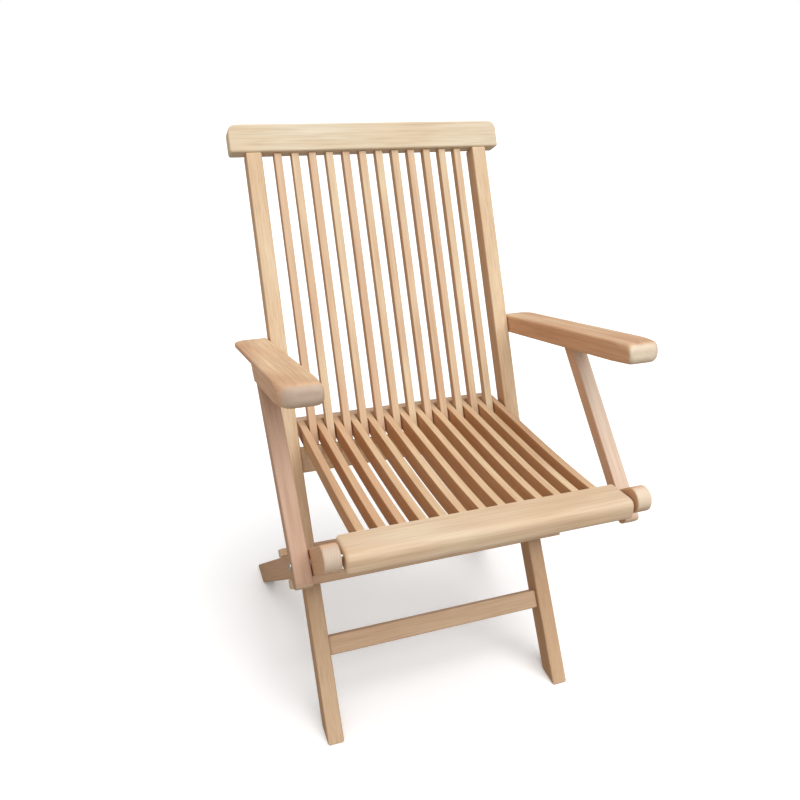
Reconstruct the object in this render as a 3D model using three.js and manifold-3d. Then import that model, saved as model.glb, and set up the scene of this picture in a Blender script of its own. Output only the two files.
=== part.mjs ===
// Folding slatted armchair in teak.
// Millimetres, +Z up. The front of the chair faces -Y and its left side, seen from the front, is -X.
// Four layers lie side by side across each half of the chair: the seat, the back frame's stile,
// the rear leg together with the arm's web, and the strut that props the arm.

import * as THREE from 'three';
import { mergeVertices } from 'three/addons/utils/BufferGeometryUtils.js';
import Module from 'manifold-3d';

const wasm = await Module();
wasm.setup();

// Fits
const clearance = 0.3;
const layerGap = 1.5;
const overrun = 2;
const arris = 2.5;
const fineArris = 1.5;

// Widths of the layers, from the middle outwards
const backClearWidth = 391;
const stileThickness = 27;
const legThickness = 24.5;
const strutThickness = 25.5;
const armWidth = 58;

// Back frame: two bent stiles, seen from the side
const lowerLean = THREE.MathUtils.degToRad(35.1);
const lowerLength = 454;
const lowerDepth = 35;
const upperLean = THREE.MathUtils.degToRad(28.6);
const upperLength = 544;
const upperDepth = 31;
const bendReach = 60;
const topRailHeight = 48;
const topRailOverhang = 26;
const topRailCorner = 16;
const topRailFootCorner = 5;
const topRailArris = 3;
const lowerRailHeight = 44;
const lowerRailDepth = 20;
const frontStretcherTop = 171;
const frontStretcherHeight = 31;
const frontStretcherDepth = 22;

// Back slats, one in each space between two seat slats
const slatGap = 2.3;
const backSlatSetback = 6;
const backSlatDepth = 16;

// Rear legs, which carry the seat pins at their noses
const noseReach = 65.25;
const noseHeight = 442.9;
const rearFootReach = 457.2;
const legDepth = 38.5;
const stopRailWidth = 28;
const stopRailThickness = 16;
const rearStretcherWidth = 32;
const rearStretcherThickness = 14;

// Seat
const seatSlatCount = 13;
const seatSlatWidth = 12.5;
const seatSideGap = 6.75;
const seatSlatDepth = 26;
const rearRailUp = 74.6;
const rearRailBehind = 53.3;
const frontRailReach = 20;
const frontRailRidge = 11;
const frontRailDrop = 21;
const frontRailTail = 37;
const frontRailTailHeight = 9;
const frontRailCorner = 9;
const frontRailEndGap = 5;
const frontRailArris = 6;
const rearRailRadius = 14;
const rearRailFront = 12;
const rearRailChamfer = 3;
const dishFrontHeight = 3.5;
const dishRearHeight = 13;

// Tenons of the slats and rails
const slatTenonLength = 12;
const slatTenonWidth = 8;
const slatTenonDepth = 10;
const railTenonLength = 15;
const railTenonWidth = 10;
const stileTenonLength = 26;
const tenonShare = 0.5;

// Arms
const armPivotUp = 212;
const armPivotIn = 12.6;
const armSlope = THREE.MathUtils.degToRad(14.6);
const armReach = 389;
const armTail = 16;
const armTop = 16.5;
const armUnder = 15;
const armNose = 12;
const armOuterCorner = 22;
const armInnerCorner = 5;
const armArris = 4;
const armSlabThickness = 9;
const armNotchLean = THREE.MathUtils.degToRad(36.9);
const strutPivotReach = 168;
const strutHeadroom = 0.6;

// Struts
const strutWidth = 24;
const strutPivotAlongLeg = 80.2;
const strutTail = 33;
const strutCorner = 9;

// Screws, pins and washers
const shankRadius = 3;
const headRadius = 6;
const headHeight = 2.6;
const headLip = 0.8;
const smallHeadRadius = 5;
const slotWidth = 1.4;
const slotDepth = 1.1;
const threadLength = 18;
const pinRadius = 4;
const pinLength = 42;
const washerRadius = 9;
const insertRadius = 5;
const insertLength = 14;

// Facets
const arcSteps = 8;
const dishSteps = 7;
const curveSteps = 5;
const roundSteps = 16;
const arrisSteps = 2;
const crownSteps = 4;

// Teak tones, by piece
const tones = {
  stile: 0xc08d5c, rail: 0xd2a873, backSlat: 0xcb9b66, leg: 0xc49361, seatRail: 0xe2c294,
  seatSlat: 0xd8b07c, arm: 0xc6946a, strut: 0xc08c69, stretcher: 0xcfa26e,
};
const steelTone = 0xb4b2ae;

// Places across the chair
const stileInner = backClearWidth / 2;
const stileOuter = stileInner + stileThickness;
const legInner = stileOuter + layerGap;
const legOuter = legInner + legThickness;
const strutInner = legOuter + layerGap;
const strutOuter = strutInner + strutThickness;
const armOuter = legInner + armWidth;
const sides = { left: -1, right: 1 };
const backSlatCount = seatSlatCount - 1;
const slatPitch = (backClearWidth - 2 * seatSideGap - seatSlatWidth) / backSlatCount;
const backSlatWidth = slatPitch - seatSlatWidth - 2 * slatGap;

// Places in the side plane are (y, z) pairs; a frame there has an origin and a turn about X.
const at = (y, z) => new THREE.Vector2(y, z);
const centre = at(0, 0);
const place = (frame, p) => p.clone().rotateAround(centre, frame.turn).add(frame.origin);
const locate = (frame, p) => p.clone().sub(frame.origin).rotateAround(centre, -frame.turn);

function crossing(p, d, q, e) {
  const share = (q.clone().sub(p)).cross(e) / d.cross(e);
  return p.clone().addScaledVector(d, share);
}

function alongAt(a, b, height) {
  return a.x + (b.x - a.x) * (height - a.y) / (b.y - a.y);
}

// Frames of the chair's members
const footFront = at(0, 0);
const lower = { origin: footFront, turn: -lowerLean };
const bend = place(lower, at(0, lowerLength));
const back = { origin: bend, turn: -upperLean };
const seatPivot = at(-noseReach, noseHeight);
const legTurn = -Math.atan2(noseHeight, rearFootReach + noseReach);
const leg = { origin: seatPivot, turn: legTurn };
const upDirection = (frame) => place(frame, at(0, 1)).sub(frame.origin);
const backDirection = (frame) => place(frame, at(1, 0)).sub(frame.origin);
const framePivot = crossing(
  place(lower, at(lowerDepth / 2, 0)), upDirection(lower), seatPivot, backDirection(leg));
const seatLine = place(back, at(rearRailBehind, rearRailUp)).sub(seatPivot);
const seatRailSpacing = seatLine.length();
const seat = { origin: seatPivot, turn: Math.atan2(seatLine.y, seatLine.x) };
const armPivot = place(back, at(armPivotIn, armPivotUp));
const arm = { origin: armPivot, turn: -armSlope };
const armCeiling = armTop - armSlabThickness;
const strutRoom = strutWidth / 2 + strutHeadroom;
const strutPivotDrop = strutRoom - armCeiling;
const strutTop = place(arm, at(-strutPivotReach, -strutPivotDrop));
const strutFoot = place(leg, at(strutPivotAlongLeg, 0));
const strutLength = strutTop.distanceTo(strutFoot);
const strutLine = strutTop.clone().sub(strutFoot);
const strut = { origin: strutTop, turn: -Math.atan2(strutLine.x, strutLine.y) };

// Closed geometry, solids and meshes
function tidy(geometry) {
  geometry.deleteAttribute('normal');
  geometry.deleteAttribute('uv');
  return mergeVertices(geometry);
}

function solid(geometry) {
  const closed = tidy(geometry);
  const vertProperties = new Float32Array(closed.attributes.position.array);
  const triVerts = new Uint32Array(closed.index.array);
  return new wasm.Manifold(new wasm.Mesh({ numProp: 3, vertProperties, triVerts }));
}

function geometryOf(body) {
  const cut = body.getMesh();
  const geometry = new THREE.BufferGeometry();
  geometry.setAttribute('position', new THREE.BufferAttribute(new Float32Array(cut.vertProperties), 3));
  geometry.setIndex(new THREE.BufferAttribute(new Uint32Array(cut.triVerts), 1));
  return geometry;
}

function carve(blank, additions, cuts) {
  let body = solid(blank);
  for (const addition of additions) body = body.add(solid(addition));
  for (const cut of cuts) body = body.subtract(solid(cut));
  return geometryOf(body);
}

function mesh(name, geometry, color, metalness = 0, roughness = 0.6) {
  geometry.computeVertexNormals();
  const piece = new THREE.Mesh(geometry, new THREE.MeshStandardMaterial({ color, metalness, roughness }));
  piece.name = name;
  return piece;
}

// An outline from corners [y, z, rounding]; the rounding is how far the curve reaches along each edge.
function outline(corners) {
  const shape = new THREE.Shape();
  corners.forEach(([y, z, rounding], index) => {
    const corner = at(y, z);
    const before = corners[(index + corners.length - 1) % corners.length];
    const after = corners[(index + 1) % corners.length];
    const enter = at(before[0], before[1]).sub(corner).setLength(rounding).add(corner);
    const leave = at(after[0], after[1]).sub(corner).setLength(rounding).add(corner);
    if (index === 0) shape.moveTo(enter.x, enter.y);
    else shape.lineTo(enter.x, enter.y);
    if (rounding > 0) shape.quadraticCurveTo(corner.x, corner.y, leave.x, leave.y);
  });
  return shape;
}

function rounded(shape, thickness, edge, steps) {
  return new THREE.ExtrudeGeometry(shape, {
    depth: thickness - 2 * edge, curveSegments: steps, bevelEnabled: edge > 0, bevelThickness: edge,
    bevelSize: edge, bevelOffset: -edge, bevelSegments: arrisSteps,
  }).translate(0, 0, edge);
}

// Sawn across the chair: the outline lies in the side plane, the thickness along X.
const acrossAxes = new THREE.Matrix4().makeBasis(
  new THREE.Vector3(0, 1, 0), new THREE.Vector3(0, 0, 1), new THREE.Vector3(1, 0, 0));

function across(shape, xFrom, xTo, edge = arris, steps = curveSteps) {
  return rounded(shape, xTo - xFrom, edge, steps).applyMatrix4(acrossAxes).translate(xFrom, 0, 0);
}

function sided(side, inner, outer) {
  return side > 0 ? [inner, outer] : [-outer, -inner];
}

function block(xFrom, xTo, yFrom, yTo, zFrom, zTo) {
  return new THREE.BoxGeometry(xTo - xFrom, yTo - yFrom, zTo - zFrom)
    .translate((xFrom + xTo) / 2, (yFrom + yTo) / 2, (zFrom + zTo) / 2);
}

function inFrame(geometry, frame) {
  return geometry.rotateX(frame.turn).translate(0, frame.origin.x, frame.origin.y);
}

function rod(radius, xFrom, xTo, centreAt) {
  return new THREE.CylinderGeometry(radius, radius, xTo - xFrom, roundSteps).rotateZ(-Math.PI / 2)
    .translate((xFrom + xTo) / 2, centreAt.x, centreAt.y);
}

// Groups that hold the members in their own frames
function memberGroup(frame) {
  const group = new THREE.Group();
  group.position.set(0, frame.origin.x, frame.origin.y);
  group.rotation.x = frame.turn;
  return group;
}

// Rows of slats
const rowPlaces = (count) => Array.from(
  { length: count }, (_, index) => (index - (count - 1) / 2) * slatPitch);
const numbered = (name, index) => `${name}_${String(index + 1).padStart(2, '0')}`;

// Seat curves: the tops of the slats dip behind the front rail and rise to the rear one.
// Their undersides have no hollow, so the slats lie on the lower back rail.
const slatFront = frontRailTail;
const slatRear = seatRailSpacing - rearRailFront;
const topHeights = [frontRailTailHeight, dishFrontHeight, dishRearHeight, rearRailRadius];
const underMiddle = (dishFrontHeight + rearRailRadius) / 2;
const underHeights = [frontRailTailHeight, dishFrontHeight, underMiddle, rearRailRadius]
  .map((height) => height - seatSlatDepth);
const slatCurve = (heights, endGap) => new THREE.CubicBezierCurve(...heights.map((height, index) => at(
  THREE.MathUtils.lerp(slatFront + endGap, slatRear - endGap, index / (heights.length - 1)), height)));
const underside = slatCurve(underHeights, 0).getPoints(dishSteps)
  .map((point) => locate(back, place(seat, point)));

function undersideOver(setback) {
  const after = underside.findIndex((point) => point.x > setback);
  const [a, b] = [underside[after - 1], underside[after]];
  return a.y + (b.y - a.y) * (setback - a.x) / (b.x - a.x);
}

// The lower back rail stands in the middle of the stiles' depth and carries the seat slats.
const lowerRailFront = (upperDepth - lowerRailDepth) / 2;
const lowerRailRear = lowerRailFront + lowerRailDepth;
const lowerRailTop = Math.min(undersideOver(lowerRailFront), undersideOver(lowerRailRear)) - clearance;
const lowerRailBottom = lowerRailTop - lowerRailHeight;
const backSlatRear = backSlatSetback + backSlatDepth;
const backSlatMiddle = (backSlatSetback + backSlatRear) / 2;

// Mortise and tenon of a slat: the same block, larger by the clearance for the mortise
function slatTenon(x, y, zFrom, zTo, fit = 0) {
  return block(x - slatTenonWidth / 2 - fit, x + slatTenonWidth / 2 + fit,
    y - slatTenonDepth / 2 - fit, y + slatTenonDepth / 2 + fit, zFrom - fit, zTo + fit);
}

// The middle share of a height or a depth, where a tenon is
function middleOf(from, to) {
  const shoulder = (to - from) * (1 - tenonShare) / 2;
  return [from + shoulder, to - shoulder];
}

function stileTenon(side, fit = 0) {
  const middle = side * (stileInner + stileThickness / 2);
  const [front, rear] = middleOf(0, upperDepth);
  return block(middle - railTenonWidth / 2 - fit, middle + railTenonWidth / 2 + fit,
    front - fit, rear + fit, upperLength - overrun, upperLength + stileTenonLength + fit);
}

function railTenon(side, frame, y, zFrom, zTo, fit = 0) {
  const [xFrom, xTo] = sided(side, stileInner - overrun, stileInner + railTenonLength + fit);
  return inFrame(block(xFrom, xTo, y - railTenonWidth / 2 - fit, y + railTenonWidth / 2 + fit,
    zFrom - fit, zTo + fit), frame);
}

const lowerRailTenon = (side, fit) => railTenon(
  side, back, upperDepth / 2, ...middleOf(lowerRailBottom, lowerRailTop), fit);
const frontStretcherBottom = frontStretcherTop - frontStretcherHeight;
const frontStretcherTenon = (side, fit) => railTenon(
  side, lower, lowerDepth / 2, ...middleOf(frontStretcherBottom, frontStretcherTop), fit);

// Stiles: one bent board each, the foot cut level
function stileOutline() {
  const rearBend = crossing(
    place(lower, at(lowerDepth, 0)), upDirection(lower), place(back, at(upperDepth, 0)), upDirection(back));
  const topFront = place(back, at(0, upperLength));
  const topRear = place(back, at(upperDepth, upperLength));
  return outline([
    [footFront.x, footFront.y, 0],
    [lowerDepth / Math.cos(lowerLean), 0, 0],
    [rearBend.x, rearBend.y, bendReach],
    [topRear.x, topRear.y, 0],
    [topFront.x, topFront.y, 0],
    [bend.x, bend.y, bendReach],
  ]);
}

function makeStile(label, side) {
  const board = across(stileOutline(), ...sided(side, stileInner, stileOuter));
  const boreFrom = stileInner - overrun;
  const cuts = [
    lowerRailTenon(side, clearance),
    frontStretcherTenon(side, clearance),
    rod(shankRadius + clearance, ...sided(side, boreFrom, stileOuter + overrun), framePivot),
    rod(shankRadius + clearance, ...sided(side, stileOuter - threadLength - clearance, stileOuter + overrun),
      armPivot),
  ];
  return mesh(`stile_${label}`, carve(board, [inFrame(stileTenon(side), back)], cuts), tones.stile);
}

// Top rail: rounded board over the stiles' ends, with a mortise for each slat and stile
function makeTopRail() {
  const half = stileOuter + topRailOverhang;
  const foot = upperLength + clearance;
  const shape = outline([
    [-half, foot, topRailFootCorner], [half, foot, topRailFootCorner],
    [half, foot + topRailHeight, topRailCorner], [-half, foot + topRailHeight, topRailCorner],
  ]);
  const board = rounded(shape, upperDepth, topRailArris, curveSteps).rotateX(Math.PI / 2)
    .translate(0, upperDepth, 0);
  const slots = rowPlaces(backSlatCount)
    .map((x) => slatTenon(x, backSlatMiddle, foot - overrun, foot + slatTenonLength, clearance));
  const sockets = Object.values(sides).map((side) => stileTenon(side, clearance));
  return mesh('top_rail', carve(board, [], [...slots, ...sockets]), tones.rail);
}

function makeLowerBackRail() {
  const shape = outline([
    [lowerRailFront, lowerRailBottom, 0], [lowerRailRear, lowerRailBottom, 0],
    [lowerRailRear, lowerRailTop, 0], [lowerRailFront, lowerRailTop, 0],
  ]);
  const half = stileInner - clearance;
  const bar = inFrame(across(shape, -half, half), back);
  const tenons = Object.values(sides).map((side) => lowerRailTenon(side));
  const slots = rowPlaces(backSlatCount).map((x) => inFrame(
    slatTenon(x, backSlatMiddle, lowerRailTop - slatTenonLength, lowerRailTop + overrun, clearance), back));
  return mesh('lower_back_rail', carve(bar, tenons, slots), tones.rail);
}

function makeBackSlat(x, index) {
  const foot = lowerRailTop + clearance;
  const shape = outline([
    [backSlatSetback, foot, 0], [backSlatRear, foot, 0],
    [backSlatRear, upperLength, 0], [backSlatSetback, upperLength, 0],
  ]);
  const bar = across(shape, x - backSlatWidth / 2, x + backSlatWidth / 2, fineArris);
  const ends = [
    slatTenon(x, backSlatMiddle, foot - slatTenonLength, foot + overrun),
    slatTenon(x, backSlatMiddle, upperLength - overrun, upperLength + slatTenonLength),
  ];
  return mesh(numbered('back_slat', index), carve(bar, ends, []), tones.backSlat);
}

function makeFrontStretcher() {
  const front = (lowerDepth - frontStretcherDepth) / 2;
  const rear = front + frontStretcherDepth;
  const shape = outline([
    [front, frontStretcherBottom, 0], [rear, frontStretcherBottom, 0],
    [rear, frontStretcherTop, 0], [front, frontStretcherTop, 0],
  ]);
  const half = stileInner - clearance;
  const bar = inFrame(across(shape, -half, half), lower);
  const tenons = Object.values(sides).map((side) => frontStretcherTenon(side));
  return mesh('front_stretcher', carve(bar, tenons, []), tones.stretcher);
}

// Rear legs, drawn from the nose along the leg down to the floor cut
function makeRearLeg(label, side) {
  const half = legDepth / 2;
  const floorStart = locate(leg, at(0, 0));
  const floorEnd = locate(leg, at(rearFootReach, 0));
  const shape = new THREE.Shape();
  shape.absarc(0, 0, half, Math.PI / 2, Math.PI * 3 / 2, false);
  shape.lineTo(alongAt(floorStart, floorEnd, -half), -half);
  shape.lineTo(alongAt(floorStart, floorEnd, half), half);
  const board = across(shape, ...sided(side, legInner, legOuter), arris, arcSteps);
  const bore = (radius, depth, centreAt) => rod(
    radius + clearance, ...sided(side, legInner - overrun, legInner + depth + clearance), centreAt);
  const cuts = [
    bore(pinRadius, pinDepth, centre),
    bore(shankRadius, threadLength, locate(leg, framePivot)),
    rod(insertRadius + clearance, ...sided(side, legOuter - insertLength - clearance, legOuter + overrun),
      at(strutPivotAlongLeg, 0)),
  ];
  return mesh(`rear_leg_${label}`, carve(board, [], cuts), tones.leg);
}

// The two bars across the rear legs meet the stiles' faces when the chair is open and stop it there.
const stileFrontLine = [footFront, bend].map((point) => locate(leg, point));
const stileRearLine = [0, lowerLength].map((length) => locate(leg, place(lower, at(lowerDepth, length))));
const stopTop = -legDepth / 2 - clearance;
const stopBottom = stopTop - stopRailThickness;
const stopRear = Math.min(...[stopTop, stopBottom].map((w) => alongAt(...stileFrontLine, w))) - clearance;
const stretcherBottom = legDepth / 2 + clearance;
const stretcherTop = stretcherBottom + rearStretcherThickness;
const stretcherFront = clearance
  + Math.max(...[stretcherBottom, stretcherTop].map((w) => alongAt(...stileRearLine, w)));

function makeStopRail() {
  const shape = outline([
    [stopRear - stopRailWidth, stopBottom, 0], [stopRear, stopBottom, 0],
    [stopRear, stopTop, 0], [stopRear - stopRailWidth, stopTop, 0],
  ]);
  return mesh('stop_rail', tidy(across(shape, -legOuter, legOuter)), tones.stretcher);
}

function makeRearStretcher() {
  const shape = outline([
    [stretcherFront, stretcherBottom, 0], [stretcherFront + rearStretcherWidth, stretcherBottom, 0],
    [stretcherFront + rearStretcherWidth, stretcherTop, 0], [stretcherFront, stretcherTop, 0],
  ]);
  return mesh('rear_stretcher', tidy(across(shape, -legOuter, legOuter)), tones.stretcher);
}

// Seat: front rail with eased front edges, domed rear rail and dished slats between them
const pinDepth = (pinLength - frontRailEndGap) / 2;
const frontRailHalf = legInner - frontRailEndGap;
const frontTenonHeight = frontRailTailHeight - seatSlatDepth / 2;
const rearTenonHeight = rearRailRadius - seatSlatDepth / 2;

function seatTenon(x, yFrom, yTo, z, fit = 0) {
  return block(x - slatTenonWidth / 2 - fit, x + slatTenonWidth / 2 + fit, yFrom - fit, yTo + fit,
    z - slatTenonDepth / 2 - fit, z + slatTenonDepth / 2 + fit);
}

function makeFrontRail() {
  const shape = outline([
    [-frontRailReach, -frontRailDrop, frontRailCorner], [frontRailTail, -frontRailDrop, 0],
    [frontRailTail, frontRailTailHeight, 0], [-frontRailReach, frontRailRidge, frontRailCorner],
  ]);
  const bar = across(shape, -frontRailHalf, frontRailHalf, frontRailArris);
  const slots = rowPlaces(seatSlatCount).map((x) => seatTenon(
    x, frontRailTail - slatTenonLength, frontRailTail + overrun, frontTenonHeight, clearance));
  const boreFrom = frontRailHalf - pinDepth - clearance;
  const bores = Object.values(sides).map((side) => rod(
    pinRadius + clearance, ...sided(side, boreFrom, frontRailHalf + overrun), centre));
  return mesh('seat_front_rail', carve(bar, [], [...slots, ...bores]), tones.seatRail);
}

function makeRearRail() {
  const front = seatRailSpacing - rearRailFront;
  const shape = new THREE.Shape();
  shape.absarc(seatRailSpacing, 0, rearRailRadius, -Math.PI / 2, Math.PI / 2, false);
  shape.lineTo(front, rearRailRadius);
  shape.lineTo(front, -rearRailRadius + rearRailChamfer);
  shape.lineTo(front + rearRailChamfer, -rearRailRadius);
  const half = rowPlaces(seatSlatCount).at(-1) + seatSlatWidth / 2;
  const bar = across(shape, -half, half, fineArris, arcSteps);
  const slots = rowPlaces(seatSlatCount).map((x) => seatTenon(
    x, front - overrun, front + slatTenonLength, rearTenonHeight, clearance));
  return mesh('seat_rear_rail', carve(bar, [], slots), tones.seatRail);
}

function makeSeatSlat(x, index) {
  const { v0, v1, v2, v3 } = slatCurve(topHeights, clearance);
  const under = slatCurve(underHeights, clearance);
  const shape = new THREE.Shape();
  shape.moveTo(v0.x, v0.y);
  shape.bezierCurveTo(v1.x, v1.y, v2.x, v2.y, v3.x, v3.y);
  shape.lineTo(under.v3.x, under.v3.y);
  shape.bezierCurveTo(under.v2.x, under.v2.y, under.v1.x, under.v1.y, under.v0.x, under.v0.y);
  const bar = across(shape, x - seatSlatWidth / 2, x + seatSlatWidth / 2, fineArris, dishSteps);
  const ends = [
    seatTenon(x, slatFront - slatTenonLength, slatFront + overrun, frontTenonHeight),
    seatTenon(x, slatRear - overrun, slatRear + slatTenonLength, rearTenonHeight),
  ];
  return mesh(numbered('seat_slat', index), carve(bar, ends, []), tones.seatSlat);
}

// Arms: a slab rebated on its outer underside, so that the strut folds up beside the inner web
function makeArm(label, side) {
  const shape = outline([
    [armTail, armTop, 0], [-armReach, armTop, armNose], [-armReach, -armUnder, armNose],
    [armTail, -armUnder, armUnder],
  ]);
  const board = solid(across(shape, ...sided(side, legInner, armOuter), armArris, arcSteps));
  const plan = outline([
    [-armReach, legInner, armInnerCorner], [-armReach, armOuter, armOuterCorner],
    [armTail, armOuter, armOuterCorner], [armTail, legInner, 0],
  ].map(([y, x, round]) => [side * x, y, round]));
  const planBlock = new THREE.ExtrudeGeometry(plan, {
    depth: armTop + armUnder + 2 * overrun, curveSegments: arcSteps, bevelEnabled: false,
  }).translate(0, 0, -armUnder - overrun);
  const notchTop = strutPivotReach + strutRoom * (1 - Math.sin(armNotchLean)) / Math.cos(armNotchLean);
  const notchFoot = notchTop + (armCeiling + armUnder) * Math.tan(armNotchLean);
  const notch = across(outline([
    [armTail + overrun, armCeiling, 0], [-notchTop, armCeiling, 0],
    [-notchFoot, -armUnder, 0], [-notchFoot, -armUnder - overrun, 0],
    [armTail + overrun, -armUnder - overrun, 0],
  ]), ...sided(side, legOuter, armOuter + overrun), 0);
  const bore = (centreAt, xFrom, xTo) => rod(shankRadius + clearance, ...sided(side, xFrom, xTo), centreAt);
  const cuts = [
    notch,
    bore(centre, legInner - overrun, legOuter + overrun),
    bore(at(-strutPivotReach, -strutPivotDrop), legOuter - threadLength - clearance, legOuter + overrun),
  ];
  let body = board.intersect(solid(planBlock));
  for (const cut of cuts) body = body.subtract(solid(cut));
  return mesh(`arm_${label}`, geometryOf(body), tones.arm);
}

function makeStrut(label, side) {
  const half = strutWidth / 2;
  const foot = -strutLength - strutTail;
  const shape = new THREE.Shape();
  shape.absarc(0, 0, half, 0, Math.PI, false);
  shape.lineTo(-half, foot + strutCorner);
  shape.quadraticCurveTo(-half, foot, strutCorner - half, foot);
  shape.lineTo(half - strutCorner, foot);
  shape.quadraticCurveTo(half, foot, half, foot + strutCorner);
  const bar = across(shape, ...sided(side, strutInner, strutOuter), arris, arcSteps);
  const cuts = [centre, at(0, -strutLength)].map((centreAt) => rod(
    shankRadius + clearance, ...sided(side, strutInner - overrun, strutOuter + overrun), centreAt));
  return mesh(`strut_${label}`, carve(bar, [], cuts), tones.strut);
}

// Fasteners: slotted round-headed screws, plain pins, washers and the legs' threaded inserts.
// A screw's head sits on x = seatX and its shank points the other way.
function makeScrew(name, centreAt, seatX, headSide, length, radius) {
  const profile = [
    at(0, -length), at(shankRadius, -length), at(shankRadius, clearance), at(radius, clearance)];
  for (let step = 0; step <= crownSteps; step += 1) {
    const angle = Math.PI / 2 * step / crownSteps;
    const rise = headLip + (headHeight - headLip) * Math.sin(angle);
    profile.push(at(radius * Math.cos(angle), clearance + rise));
  }
  profile[profile.length - 1].x = 0;
  const blank = new THREE.LatheGeometry(profile, roundSteps);
  const slot = block(-slotWidth / 2, slotWidth / 2, clearance + headHeight - slotDepth,
    clearance + headHeight + overrun, -radius - overrun, radius + overrun);
  const geometry = carve(blank, [], [slot]);
  geometry.rotateZ(-headSide * Math.PI / 2).translate(seatX, centreAt.x, centreAt.y);
  return mesh(name, geometry, steelTone, 1, 0.35);
}

function makeWasher(name, centreAt, xMiddle) {
  const half = layerGap / 2 - clearance;
  const bore = shankRadius + clearance;
  const ring = [
    at(bore, -half), at(washerRadius, -half), at(washerRadius, half), at(bore, half), at(bore, -half)];
  const geometry = new THREE.LatheGeometry(ring, roundSteps).rotateZ(-Math.PI / 2)
    .translate(xMiddle, centreAt.x, centreAt.y);
  return mesh(name, tidy(geometry), steelTone, 1, 0.4);
}

function makeInsert(label, side) {
  const bore = shankRadius;
  const wall = [at(bore, 0), at(bore, -insertLength), at(insertRadius, -insertLength), at(insertRadius, 0),
    at(bore, 0)];
  const geometry = new THREE.LatheGeometry(wall, roundSteps).rotateZ(-side * Math.PI / 2)
    .translate(side * legOuter, strutFoot.x, strutFoot.y);
  return mesh(`strut_insert_${label}`, tidy(geometry), steelTone, 1, 0.4);
}

function makeSeatPin(label, side) {
  const xTo = legInner + pinDepth;
  return mesh(`seat_pin_${label}`, tidy(rod(pinRadius, ...sided(side, xTo - pinLength, xTo), seatPivot)),
    steelTone, 1, 0.4);
}

// Assembly
const chair = new THREE.Group();
const backGroup = memberGroup(back);
const legGroup = memberGroup(leg);
const seatGroup = memberGroup(seat);
const armGroup = memberGroup(arm);
const strutGroup = memberGroup(strut);
chair.add(backGroup, legGroup, seatGroup, armGroup, strutGroup);

chair.add(makeLowerBackRail(), makeFrontStretcher());
backGroup.add(makeTopRail(), ...rowPlaces(backSlatCount).map(makeBackSlat));
legGroup.add(makeStopRail(), makeRearStretcher());
seatGroup.add(makeFrontRail(), makeRearRail(), ...rowPlaces(seatSlatCount).map(makeSeatSlat));

const gapMiddle = layerGap / 2;
for (const [label, side] of Object.entries(sides)) {
  const screw = (name, centreAt, seatX, headSide, length, radius) => makeScrew(
    `${name}_${label}`, centreAt, side * seatX, side * headSide, length, radius);
  const washer = (name, centreAt, innerX) => makeWasher(
    `${name}_${label}`, centreAt, side * (innerX + gapMiddle));
  legGroup.add(makeRearLeg(label, side));
  armGroup.add(makeArm(label, side));
  strutGroup.add(makeStrut(label, side));
  chair.add(
    makeStile(label, side),
    screw('frame_bolt', framePivot, stileInner, -1, stileThickness + layerGap + threadLength, headRadius),
    washer('frame_washer', framePivot, stileOuter),
    screw('arm_screw', armPivot, legOuter, 1, legThickness + layerGap + threadLength, headRadius),
    washer('arm_washer', armPivot, stileOuter),
    screw('strut_top_screw', strutTop, strutOuter, 1, strutThickness + layerGap + threadLength, headRadius),
    washer('strut_top_washer', strutTop, legOuter),
    screw('strut_foot_screw', strutFoot, strutOuter, 1, strutThickness + gapMiddle, smallHeadRadius),
    washer('strut_foot_washer', strutFoot, legOuter),
    makeInsert(label, side),
    makeSeatPin(label, side),
  );
}

// The chair stands on the origin, in the middle of its box.
chair.updateMatrixWorld(true);
const box = new THREE.Box3().setFromObject(chair, true);
chair.position.y = -(box.min.y + box.max.y) / 2;

export default chair;
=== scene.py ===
import math

import bmesh
import bpy
from mathutils import Euler, Matrix, Vector


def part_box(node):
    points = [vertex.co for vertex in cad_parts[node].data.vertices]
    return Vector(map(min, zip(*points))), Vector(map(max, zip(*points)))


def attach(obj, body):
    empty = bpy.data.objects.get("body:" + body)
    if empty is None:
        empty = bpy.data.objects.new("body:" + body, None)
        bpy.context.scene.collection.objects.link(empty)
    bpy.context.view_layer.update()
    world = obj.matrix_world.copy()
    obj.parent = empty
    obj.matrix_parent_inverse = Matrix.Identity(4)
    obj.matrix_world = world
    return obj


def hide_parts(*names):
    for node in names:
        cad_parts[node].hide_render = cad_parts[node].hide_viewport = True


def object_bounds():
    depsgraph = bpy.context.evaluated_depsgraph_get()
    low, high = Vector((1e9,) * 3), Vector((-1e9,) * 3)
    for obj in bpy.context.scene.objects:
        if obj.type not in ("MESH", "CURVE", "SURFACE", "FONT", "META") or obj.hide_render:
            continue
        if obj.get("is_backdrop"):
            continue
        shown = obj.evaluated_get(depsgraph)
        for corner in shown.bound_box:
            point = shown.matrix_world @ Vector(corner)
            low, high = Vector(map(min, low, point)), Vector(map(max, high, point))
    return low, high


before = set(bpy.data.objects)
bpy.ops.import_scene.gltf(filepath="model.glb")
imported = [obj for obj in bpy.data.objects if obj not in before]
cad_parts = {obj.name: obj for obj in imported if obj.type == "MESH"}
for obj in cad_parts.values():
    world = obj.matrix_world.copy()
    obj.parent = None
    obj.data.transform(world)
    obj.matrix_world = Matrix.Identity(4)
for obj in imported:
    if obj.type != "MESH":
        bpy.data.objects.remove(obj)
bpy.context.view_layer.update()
scene = bpy.context.scene


# Camera
# It stands to the chair's front left and looks down at it, turned a little about its own line of
# sight, as the photograph was taken.
picture_width = 800
focal_length_in_pixels = 782
sensor_width = 36.0
camera_place = (-0.4425, -1.0882, 1.0993)
camera_heading = math.radians(20.68)
camera_pitch = math.radians(27.59)
camera_roll = math.radians(2.36)
camera_reach = 100.0
quarter_turn = math.radians(90)

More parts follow.
